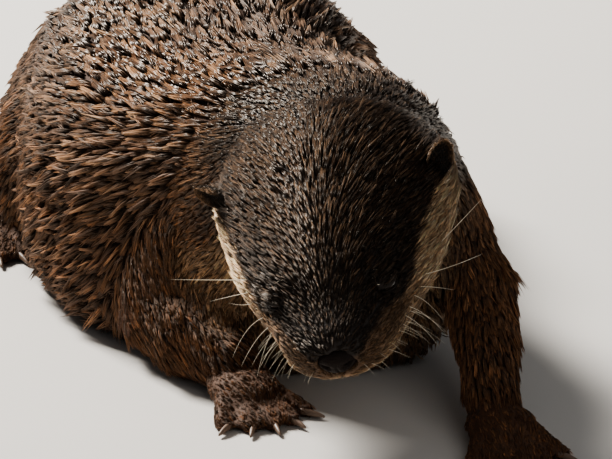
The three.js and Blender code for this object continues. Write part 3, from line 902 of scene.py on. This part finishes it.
def whiskers(draw):
    """Rows of stiff pale hairs on each upper lip: short and pointing forwards in front, longer and
    standing out behind, all bending down."""
    hairs = []
    for side, sign in SIDES.items():
        row, column = (a.ravel() for a in np.indices((WHISKER_ROWS, WHISKER_COLUMNS)))
        rear = column / (WHISKER_COLUMNS - 1)
        back = 3.0 + column * 3.8 + row * 1.2 + draw.normal(0, 0.5, row.size)
        up = -2.4 - row * 1.9 - 1.5 * rear + draw.normal(0, 0.4, row.size)
        out = np.interp(back, [0, 3, 8, 15, 24], [6, 9, 15, 20, 24])
        at, normal = skin_at(np.stack([back, sign * out, up], 1))
        ahead, down = WHISKER_WAY[side]
        aim = np.stack([ahead * (1 - 0.6 * rear), sign * (0.7 + 0.4 * rear), down - 0.05 * row], 1)
        way = unit(unit((aim + draw.normal(0, 0.14, aim.shape)) @ HEAD_AXES) + 0.2 * normal)
        bend = np.array([-0.6, 0, -0.55]) @ HEAD_AXES * (0.05 + 0.45 * draw.random((row.size, 1)))
        long = (4.0 + 5.5 * rear**1.2) * np.exp(draw.normal(0, 0.3, row.size))
        wide = 0.09 + 0.04 * rear + 0.03 * draw.random(row.size)
        hairs.append((at, way, bend, long * MM, wide * MM))
    return hair_tubes(*(np.concatenate(part) for part in zip(*hairs)))


def long_whiskers():
    """The long single hairs as tubes, rooted in the skin nearest to their places."""
    places, aims, bends, lengths = (np.array(column, float) for column in zip(*LONG_HAIRS))
    at, _ = skin_at(places)
    wide = np.interp(lengths, [5, 25], [0.20, 0.30]) * MM
    return hair_tubes(at, unit(aims @ HEAD_AXES), bends @ HEAD_AXES, lengths * MM, wide, rings=14)


# ---------------------------------------------------------------- eyes, nose and claws
CORNEA_RISE = 0.22  # in millimetres
NOSE_HALF = (4.6, 6.8, 4.6)  # half of the nose pad's depth, width and height, in millimetres
CLAW_RADIUS = 1.25 * MM
CLAW_RINGS = CLAW_SIDES = 14


def globe(rings, sides, pole):
    """The polar angle and the turn of a ball's points, which stop short of both poles."""
    return np.meshgrid(np.linspace(pole, np.pi - pole, rings), full_turn(sides), indexing="ij")


def eyeball(side):
    """A sphere with a slightly raised cornea on its outward axis, and each point's polar angle in
    degrees."""
    at, axis, along, up = eye_frame(side)
    polar, turn = globe(33, 48, 0.02)
    radius = (EYE_BALL + CORNEA_RISE * bump(polar, 0.55))[..., None] * MM
    shape = np.cos(polar)[..., None] * axis + np.sin(polar)[..., None] * (
        np.cos(turn)[..., None] * along + np.sin(turn)[..., None] * up)
    points, faces = closed_tube(at + radius * shape)
    return points, outward(points, faces), np.concatenate([np.degrees(polar).ravel(), [0, 180]])


def nose_pad():
    """An ellipsoid, broad above, with a comma-shaped nostril pressed into each side and a cleft
    below."""
    polar, turn = globe(72, 120, 0.01)
    backward = -np.cos(polar)
    sideways = np.sin(polar) * np.cos(turn)
    upward = np.sin(polar) * np.sin(turn)
    narrow = 1 - 0.22 * step(0.1, -0.9, upward)
    deep, wide, high = NOSE_HALF
    back, left, up = deep * backward, wide * sideways * narrow, high * upward
    front = backward < 0.2
    side = np.abs(left)
    hole = bump(np.hypot((side - 3.5) / 1.2, (up - 0.3) / 0.95), 1.0)
    tail = bump(np.hypot((side - 4.9) / 1.4, (up - 0.8 - 0.25 * (side - 4.9)) / 0.5), 1.0)
    cleft = bump(left, 0.45) * step(1.5, -1.5, up) * 0.6
    top = 0.35 * bump(np.hypot(side - 3.3, up - 2.4), 1.3)
    pebble = 0.05 * np.sin(6.1 * left + 1.7 * np.sin(4.3 * up))
    pebble = pebble * np.sin(5.7 * up + 1.3 * np.sin(5.1 * left))
    sink = (2.3 * hole + 1.5 * tail + cleft - top) * front - pebble
    narrowed = left * (1 - 0.12 * (sink > 1.7))
    places = np.stack([back * np.where(front, 1 - sink / deep, 1), narrowed, up], -1) + NOSE_AT
    points, faces = closed_tube(from_head(places))
    return points, outward(points, faces)


def claw(node, foot):
    """A blunt horn: rings of shrinking oval section on an arc that starts level and turns down."""
    low, high = (np.array(corner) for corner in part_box(node))
    at = (low + high) / 2
    upward = np.array([0, 0, 1.0])
    tall = high[2] - low[2]
    way = unit((at - middle(foot)) * [1, 1, 0])
    reach = np.linalg.norm((high - low)[:2]) / 2
    run = np.linspace(0, 1, CLAW_RINGS)
    along = (-2.2 * reach + 3.1 * reach * run)[:, None] * way
    path = at + along + (-tall * 0.42 * run**2)[:, None] * upward + np.array([0, 0, tall * 0.12])
    radius = (CLAW_RADIUS * np.sqrt(1 - 0.93 * run**2.2))[:, None, None]
    turn = full_turn(CLAW_SIDES)[None, :, None]
    flat = 0.80 * radius * np.cos(turn) * np.cross(way, upward)
    points, faces = closed_tube(path[:, None] + flat + radius * np.sin(turn) * upward)
    points[:, 2] = np.maximum(points[:, 2], 0.1 * MM)
    return points, outward(points, faces)


# ---------------------------------------------------------------- finishes
def shaded(colour, *factors):
    """A colour with one factor, or one for each part, and full alpha."""
    return (*(np.array(colour) * factors).tolist(), 1)


class Value:
    """A number that varies over a surface. Arithmetic on it adds Math nodes."""

    def __init__(self, tree, socket):
        self.tree = tree
        self.socket = socket

    def _math(self, operation, *terms):
        """A Math node on these terms, as a new value."""
        node = self.tree.nodes.new("ShaderNodeMath")
        node.operation = operation
        for place, term in zip(node.inputs, terms):
            if isinstance(term, Value):
                self.tree.links.new(term.socket, place)
            else:
                place.default_value = term
        return Value(self.tree, node.outputs[0])

    def __add__(self, other):
        return self._math("ADD", self, other)

    def __sub__(self, other):
        return self._math("SUBTRACT", self, other)

    def __rsub__(self, other):
        return self._math("SUBTRACT", other, self)

    def __mul__(self, other):
        return self._math("MULTIPLY", self, other)

    __radd__ = __add__
    __rmul__ = __mul__


class Finish:
    """One material: add() puts in a node, wear() links or sets the shader's sockets."""

    def __init__(self, name):
        self.material = bpy.data.materials.new(name)
        self.material.use_nodes = True
        self.tree = self.material.node_tree
        self.shader = self.tree.nodes["Principled BSDF"]

    def add(self, kind, settings=None, inputs=None, output=0):
        """A node of a type, with its settings made first and then its sockets linked or set."""
        node = self.tree.nodes.new("ShaderNode" + kind)
        for name, setting in (settings or {}).items():
            setattr(node, name, setting)
        self.feed(node, inputs or {})
        socket = node.outputs[output]
        return Value(self.tree, socket) if socket.type == "VALUE" else socket

    def feed(self, node, inputs):
        """Links each socket of a node to what is given for it, or sets it to that."""
        for name, given in inputs.items():
            socket = node.inputs[name]
            if isinstance(given, Value):
                self.tree.links.new(given.socket, socket)
            elif isinstance(given, bpy.types.NodeSocket):
                self.tree.links.new(given, socket)
            else:
                socket.default_value = given

    def noise(self, scale, detail):
        """Noise on the object's own coordinates, in cycles per metre."""
        at = self.add("TexCoord", output="Object")
        sockets = {"Vector": at, "Scale": scale, "Detail": detail, "Roughness": 0.6}
        return self.add("TexNoise", inputs=sockets)

    def tinted(self, colour, other, amount, blend="MIX"):
        """A colour mixed with another by an amount."""
        settings = {"data_type": "RGBA", "blend_type": blend}
        return self.add("Mix", settings, {0: amount, 6: colour, 7: other}, output=2)

    def wear(self, **sockets):
        """Links or sets the shader's sockets, and gives the material."""
        self.feed(self.shader, {name.replace("_", " "): given for name, given in sockets.items()})
        return self.material


DAMP_HEIGHTS = (0.045, 0.090)  # between which heights the roughness changes


def fur_finish(name, above, below, shine):
    """Damp guard hair: the tufts' own colours, mottled finely, with a roughness that changes from
    the low parts to the back. The shine is the level and the tint of the highlights."""
    finish = Finish(name)
    colour = finish.add("Attribute", {"attribute_name": "coat"}, output="Color")
    fine = finish.noise(900, 2)
    broad = finish.noise(60, 2)
    dark = finish.tinted(colour, (0.55, 0.5, 0.48, 1), 0.5, "MULTIPLY")
    mottled = finish.tinted(colour, dark, (fine - 0.3) * 1.6)
    level, tint = shine
    finish.wear(Specular_IOR_Level=level, Specular_Tint=tint)
    at = finish.add("TexCoord", output="Object")
    height = finish.add("SeparateXYZ", inputs={"Vector": at}, output="Z")
    low, high = DAMP_HEIGHTS
    spread = {"Value": height, "From Min": low, "From Max": high, "To Min": below, "To Max": above}
    rough = finish.add("MapRange", inputs=spread)
    return finish.wear(Base_Color=mottled, Roughness=rough + (broad - 0.5) * 0.35)


def skin_finish():
    """Hide under the coat: dark and dull, with fine creases."""
    finish = Finish("hide")
    colour = finish.add("Attribute", {"attribute_name": "coat"}, output="Color")
    grain = finish.noise(1400, 3)
    deep = finish.tinted(colour, (0.42, 0.38, 0.36, 1), 1.0, "MULTIPLY")
    relief = finish.add("Bump", inputs={"Height": grain, "Strength": 0.5, "Distance": 0.0006})
    tone = finish.tinted(deep, colour, grain * 0.5)
    return finish.wear(Base_Color=tone, Roughness=0.75, Normal=relief)


def nose_finish(colour):
    """Bare moist skin with small pebbles."""
    finish = Finish("nose skin")
    at = finish.add("TexCoord", output="Object")
    cells = finish.add("TexVoronoi", {"feature": "F1"}, {"Vector": at, "Scale": 1500.0})
    shade = finish.noise(500, 3)
    relief = finish.add("Bump", inputs={"Height": cells, "Strength": 0.35, "Distance": 0.0003})
    tone = finish.tinted((*colour, 1), shaded(colour, 1.9, 1.7, 1.6), shade)
    finish.wear(Specular_IOR_Level=0.18)
    return finish.wear(Base_Color=tone, Roughness=0.5 + cells * 0.3, Normal=relief)


def eye_finish(colour):
    """Dark wet eye: nearly black, a little browner towards the middle."""
    finish = Finish("eye")
    polar = finish.add("Attribute", {"attribute_name": "polar"}, output="Fac")
    iris = finish.add("MapRange", inputs={"Value": polar, "From Min": 24.0, "From Max": 34.0})
    tone = finish.tinted((0.004, 0.003, 0.003, 1), (*colour, 1), iris)
    finish.wear(Coat_Weight=0.6)
    finish.shader.inputs["Coat Roughness"].default_value = 0.03
    return finish.wear(Base_Color=tone, Roughness=0.12)


def claw_finish(colour):
    """Brown horn with faint growth lines."""
    finish = Finish("horn")
    lines = finish.noise(2500, 2)
    tone = finish.tinted((*colour, 1), shaded(colour, 0.45, 0.4, 0.4), lines)
    return finish.wear(Base_Color=tone, Roughness=0.32 + lines * 0.2)


def whisker_finish(colour):
    """Stiff ivory hair, a little uneven in colour."""
    finish = Finish("whisker")
    grain = finish.noise(400, 1)
    tone = finish.tinted((*colour, 1), shaded(colour, 0.75, 0.68, 0.58), grain)
    return finish.wear(Base_Color=tone, Roughness=0.35 + grain * 0.1)


def floor_finish(colour):
    """An even pale matt surface with a very faint mottle."""
    finish = Finish("floor")
    grain = finish.noise(6, 3)
    tone = finish.tinted((*colour, 1), shaded(colour, 0.93), grain)
    return finish.wear(Base_Color=tone, Roughness=0.85)


# ---------------------------------------------------------------- settings
def colour_setting(name, description, default):
    """A colour that a user can change."""
    return bpy.props.FloatVectorProperty(
        name=name, description=description, default=default, size=3, subtype="COLOR", min=0, max=1)


class OtterCoatSettings(bpy.types.PropertyGroup):
    """Colours and fullness of the coat."""

    crown: colour_setting("Crown", "Colour of the top of the head", (0.030, 0.0150, 0.0085))
    brown: colour_setting("Back", "Colour of the back", (0.076, 0.038, 0.020))
    red: colour_setting("Flank", "Colour of the lower flanks and legs", (0.135, 0.060, 0.025))
    pale: colour_setting("Cheek", "Colour of the pale cheeks and lips", (0.70, 0.47, 0.285))
    buff: colour_setting("Throat", "Colour of the throat", (0.34, 0.205, 0.115))
    fullness: bpy.props.FloatProperty(
        name="Fullness", description="Share of the tufts that are made",
        default=1.0, min=0.05, max=1.0, subtype="FACTOR")


class OtterFaceSettings(bpy.types.PropertyGroup):
    """Colours of the bare parts."""

    nose: colour_setting("Nose", "Colour of the nose pad", (0.008, 0.005, 0.004))
    eye: colour_setting("Eye", "Colour of the iris", (0.020, 0.011, 0.007))
    claw: colour_setting("Claw", "Colour of the claws", (0.24, 0.17, 0.125))
    whisker: colour_setting("Whisker", "Colour of the whiskers", (0.80, 0.74, 0.62))


class OtterStageSettings(bpy.types.PropertyGroup):
    """The camera and the lights."""

    elevation: bpy.props.FloatProperty(
        name="Elevation", description="Height of the camera over the horizon",
        default=math.radians(21), subtype="ANGLE", unit="ROTATION")
    distance: bpy.props.FloatProperty(
        name="Distance", description="From the camera to the head",
        default=2.2, min=0.2, unit="LENGTH")
    across: bpy.props.FloatProperty(
        name="Width seen", description="Width of the view at the head",
        default=0.2081, min=0.01, unit="LENGTH")
    floor: colour_setting("Floor", "Colour of the floor", (0.62, 0.60, 0.57))


def coat_look():
    """The coat's five colours, in the order that markings takes them."""
    settings = bpy.context.scene.otter_coat
    return [tuple(getattr(settings, name)) for name in ("crown", "brown", "red", "pale", "buff")]


# ---------------------------------------------------------------- operators
class OTTER_OT_skin(bpy.types.Operator):
    """Fuse the flesh into one skin with lids, lips and ears"""

    bl_idname = "otter.skin"
    bl_label = "Skin"

    def execute(self, context):
        grow_skin()
        skin = Coat.skin
        piece = put_mesh("skin", skin.points, skin.triangles)
        colours = markings(skin.points, Coat.regions, coat_look())
        set_colour(piece, "coat", colours.clip(0, 1))
        piece.data.materials.append(skin_finish())
        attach(piece, "root")
        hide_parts(*FLESH_NODES, "ear_left", "ear_right")
        return {"FINISHED"}


FACE_END = 56  # how far back the finest tufts reach, in millimetres
HEAD_PIECES = ("coat_face", "coat_crown", "coat_neck", "coat_ears")
# The level and the tint of the highlights.
HEAD_SHINE = (0.42, (1.0, 0.90, 0.78, 1))
BODY_SHINE = (0.68, (1.0, 0.92, 0.84, 1))


def body_kinds():
    """The coat pieces. The hair is finest on the face and feet and longest on the flanks."""

    def by_place(stops, sizes):
        """A size that changes with how far it is behind the nose tip, in millimetres."""
        return lambda points: np.interp(to_head(points)[:, 0], stops, sizes)

    def front(points):
        return (to_head(points)[:, 0] < FACE_END).astype(float)

    def rear(points):
        return 1 - front(points)

    def flank_length(points):
        return np.interp(points[:, 2], [0.02, 0.06], [10.5, 8.5])

    def tail_length(points):
        return np.interp(points[:, 1], [0.10, 0.28], [8.0, 4.5])

    face_length = by_place([0, 12, 30, FACE_END], [1.9, 3.2, 4.9, 6.1])
    face_width = by_place([0, 30, FACE_END], [0.22, 0.27, 0.31])
    neck_length = by_place([90, 140], [6.2, 8.8])
    neck_width = by_place([90, 140], [0.34, 0.62])
    neck_rise = by_place([90, 140], [13, 20])
    head = ["head", "jaw"]
    return {
        "coat_face": Kind(head, 33000, face_length, face_width, 13, 0.80, 8, 0.13, front),
        "coat_crown": Kind(head, 33000, 6.4, 0.32, 15, 0.85, 9, 0.15, rear),
        "coat_neck": Kind(["neck"], 33000, neck_length, neck_width, neck_rise, 0.84, 11, 0.18),
        "coat_chest": Kind(["chest"], 33000, 9.5, 0.66, 25, 0.88, 13, 0.22, streak=0.7),
        "coat_loin": Kind(["loin"], 27000, flank_length, 0.76, 24, 0.88, 12, 0.22, streak=0.7),
        "coat_rump": Kind(["rump"], 22000, flank_length, 0.85, 22, 0.86, 11, 0.20, streak=0.7),
        "coat_tail": Kind(["tail"], 15000, tail_length, 0.8, 14, 0.7, 9),
        "coat_forelegs": Kind(["foreleg"], 24000, 7.0, 0.62, 18, 0.78, 10, 0.18),
        "coat_hindlegs": Kind(["hindleg"], 11000, 8.0, 0.9, 18, 0.75, 9, 0.18),
        "coat_feet": Kind(["forefoot", "hindfoot"], 13000, 2.6, 0.36, 11, 0.6, 7, streak=0.8),
        "coat_ears": Kind(["ear", "ear_rim"], 2500, 1.6, 0.26, 16),
    }


class OTTER_OT_coat(bpy.types.Operator):
    """Grow the tufts of every part of the coat"""

    bl_idname = "otter.coat"
    bl_label = "Coat"

    def execute(self, context):
        fine = fur_finish("head hair", 0.38, 0.42, HEAD_SHINE)
        coarse = fur_finish("guard hair", 0.38, 0.85, BODY_SHINE)
        draw = np.random.default_rng(SEED)
        fullness = context.scene.otter_coat.fullness
        for name, kind in body_kinds().items():
            kind.count = int(kind.count * fullness)
            finish = fine if name in HEAD_PIECES else coarse
            piece = put_coat(name, kind, coat_look(), finish, draw)
            "coat_feet" if name == "coat_feet" else "coat_brown"
        return {"FINISHED"}


class OTTER_OT_whiskers(bpy.types.Operator):
    """Set the whiskers in the lips and brows"""

    bl_idname = "otter.whiskers"
    bl_label = "Whiskers"

    def execute(self, context):
        hairs = joined([whiskers(np.random.default_rng(SEED + 1)), long_whiskers()])
        piece = put_mesh("whiskers", *hairs)
        piece.data.materials.append(whisker_finish(context.scene.otter_face.whisker))
        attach(piece, "root")
        return {"FINISHED"}


class OTTER_OT_eyes(bpy.types.Operator):
    """Make both eyeballs"""

    bl_idname = "otter.eyes"
    bl_label = "Eyes"

    def execute(self, context):
        finish = eye_finish(context.scene.otter_face.eye)
        for side in SIDES:
            points, faces, polar = eyeball(side)
            piece = put_mesh(f"eyeball_{side}", points, faces)
            set_number(piece, "polar", polar)
            piece.data.materials.append(finish)
            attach(piece, "root")
            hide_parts(f"eye_{side}")
        return {"FINISHED"}


class OTTER_OT_nose(bpy.types.Operator):
    """Make the bare nose pad with its nostrils"""

    bl_idname = "otter.nose"
    bl_label = "Nose"

    def execute(self, context):
        piece = put_mesh("nose_pad", *nose_pad())
        piece.data.materials.append(nose_finish(context.scene.otter_face.nose))
        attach(piece, "root")
        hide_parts("nose")
        return {"FINISHED"}


class OTTER_OT_claws(bpy.types.Operator):
    """Make the five claws of each foot"""

    bl_idname = "otter.claws"
    bl_label = "Claws"

    def execute(self, context):
        finish = claw_finish(context.scene.otter_face.claw)
        for end in ("fore", "hind"):
            for side in SIDES:
                nodes = [f"claw_{end}_{side}_{i}" for i in range(1, 6)]
                claws = joined([claw(node, f"{end}foot_{side}") for node in nodes])
                piece = put_mesh(f"claws_{end}_{side}", *claws)
                piece.data.materials.append(finish)
                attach(piece, "root")
                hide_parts(*nodes)
        return {"FINISHED"}


CAMERA_TARGET = np.array([0.0224, -0.2099, 0.060])
SENSOR = 36.0  # width in millimetres
SIGHT_END = 50  # how far the camera sees
FLOOR_HALF = 12.0
FLOOR_LINES = 9  # each way in the floor's grid
LAMP_TARGET = [0, -0.1, 0.04]
# Each lamp's place, size, power in watts and colour.
LAMPS = {
    "key": ([-1.1, 0.9, 1.5], 0.6, 120, (1.0, 0.96, 0.90)),
    "fill": ([0.9, -1.6, 1.3], 1.4, 8, (1.0, 0.98, 0.95)),
}
SKY = {"Color": (0.96, 0.97, 1.0, 1), "Strength": 0.16}


def area_light(name, at, size, power, colour):
    """A square lamp at a place, turned towards the lamps' target."""
    lamp = bpy.data.lights.new(name, "AREA")
    lamp.size = size
    lamp.energy = power
    lamp.color = colour
    holder = bpy.data.objects.new(name, lamp)
    holder.location = at
    holder.rotation_euler = (Vector(LAMP_TARGET) - Vector(at)).to_track_quat("-Z", "Y").to_euler()
    bpy.context.scene.collection.objects.link(holder)


class OTTER_OT_stage(bpy.types.Operator):
    """Set the floor, the studio lights and the camera"""

    bl_idname = "otter.stage"
    bl_label = "Stage"

    def execute(self, context):
        settings = context.scene.otter_stage
        lines = np.linspace(-FLOOR_HALF, FLOOR_HALF, FLOOR_LINES)
        across, along = (a.ravel() for a in np.meshgrid(lines, lines))
        points = np.stack([across, along, np.zeros(across.size)], 1)
        floor = put_mesh("floor", points, grid_faces(FLOOR_LINES, FLOOR_LINES, closed=False))
        floor.data.materials.append(floor_finish(tuple(settings.floor)))
        for name, lamp in LAMPS.items():
            area_light(name, *lamp)
        world = bpy.data.worlds.new("studio")
        world.use_nodes = True
        for name, value in SKY.items():
            world.node_tree.nodes["Background"].inputs[name].default_value = value
        context.scene.world = world
        context.scene.view_settings.look = "AgX - Medium High Contrast"
        lens = bpy.data.cameras.new("camera")
        lens.sensor_width = SENSOR
        lens.lens = SENSOR * settings.distance / settings.across
        lens.clip_end = SIGHT_END
        camera = bpy.data.objects.new("camera", lens)
        back = np.array([0, -math.cos(settings.elevation), math.sin(settings.elevation)])
        camera.location = CAMERA_TARGET + settings.distance * back
        camera.rotation_euler = (math.pi / 2 - settings.elevation, 0, 0)
        context.scene.collection.objects.link(camera)
        context.scene.camera = camera
        return {"FINISHED"}


STEPS = [
    OTTER_OT_skin,
    OTTER_OT_coat,
    OTTER_OT_whiskers,
    OTTER_OT_eyes,
    OTTER_OT_nose,
    OTTER_OT_claws,
    OTTER_OT_stage,
]


class OTTER_PT_panel(bpy.types.Panel):
    """The otter's settings and the steps that build it"""

    bl_label = "Otter"
    bl_idname = "OTTER_PT_panel"
    bl_space_type = "VIEW_3D"
    bl_region_type = "UI"
    bl_category = "Otter"

    def draw(self, context):
        for group in SETTINGS:
            settings = getattr(context.scene, group)
            box = self.layout.box()
            for name in settings.__annotations__:
                box.prop(settings, name)
        for operator in STEPS:
            self.layout.operator(operator.bl_idname)


SETTINGS = {
    "otter_coat": OtterCoatSettings,
    "otter_face": OtterFaceSettings,
    "otter_stage": OtterStageSettings,
}
CLASSES = [*SETTINGS.values(), *STEPS, OTTER_PT_panel]


def register():
    """Adds the classes, and the settings to every scene."""
    for one in CLASSES:
        bpy.utils.register_class(one)
    for name, group in SETTINGS.items():
        setattr(bpy.types.Scene, name, bpy.props.PointerProperty(type=group))


def unregister():
    """Takes out what register adds."""
    for name in SETTINGS:
        delattr(bpy.types.Scene, name)
    for one in reversed(CLASSES):
        bpy.utils.unregister_class(one)


def main():
    """Builds everything in order."""
    register()
    for operator in STEPS:
        section, name = operator.bl_idname.split(".")
        getattr(getattr(bpy.ops, section), name)()


if __name__ == "__main__":
    main()
